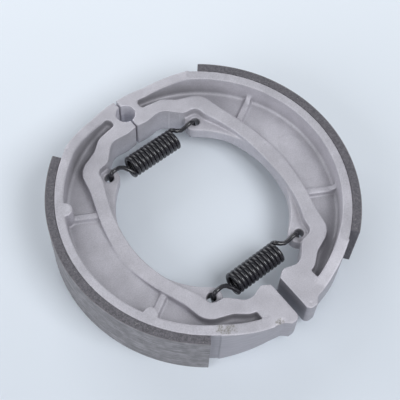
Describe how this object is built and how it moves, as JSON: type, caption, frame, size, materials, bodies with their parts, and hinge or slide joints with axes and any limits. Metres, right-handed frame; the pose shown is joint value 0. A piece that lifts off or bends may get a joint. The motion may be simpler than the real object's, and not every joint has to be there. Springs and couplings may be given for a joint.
{
  "type": "drum brake shoe set",
  "caption": "Die-cast drum brake shoes with bonded linings, drawn together by hooked coil springs; they swing apart about the anchor pin.",
  "frame": {"origin": "on the drum axis, midway between the shoes, at the bottom face of the rims and linings", "axes": "+Z along the drum axis, through the anchor pin bore's direction; +Y from the drum axis towards the anchor pin; the left shoe is on -X"},
  "size_m": [0.1358, 0.1329, 0.028],
  "materials": {
    "cast_aluminium": "blasted casting, matte",
    "friction_lining": "matte resin-bonded friction compound, ground on the outside",
    "spring_steel": "black oxide, oiled"
  },
  "bodies": {
    "left_shoe": {"shoe_left": "cast_aluminium", "lining_left": "friction_lining", "return_spring_anchor": "spring_steel", "return_spring_cam": "spring_steel"},
    "right_shoe": {"shoe_right": "cast_aluminium", "lining_right": "friction_lining"}
  },
  "joints": [
    {"name": "shoe_swing", "type": "hinge", "parent": "left_shoe", "child": "right_shoe", "pos_m": [0, 0.057, 0.014], "axis": [0, 0, 1], "range_deg": [0, 5], "stiffness_Nm_per_rad": 20, "deforming": ["return_spring_anchor", "return_spring_cam"]}
  ]
}
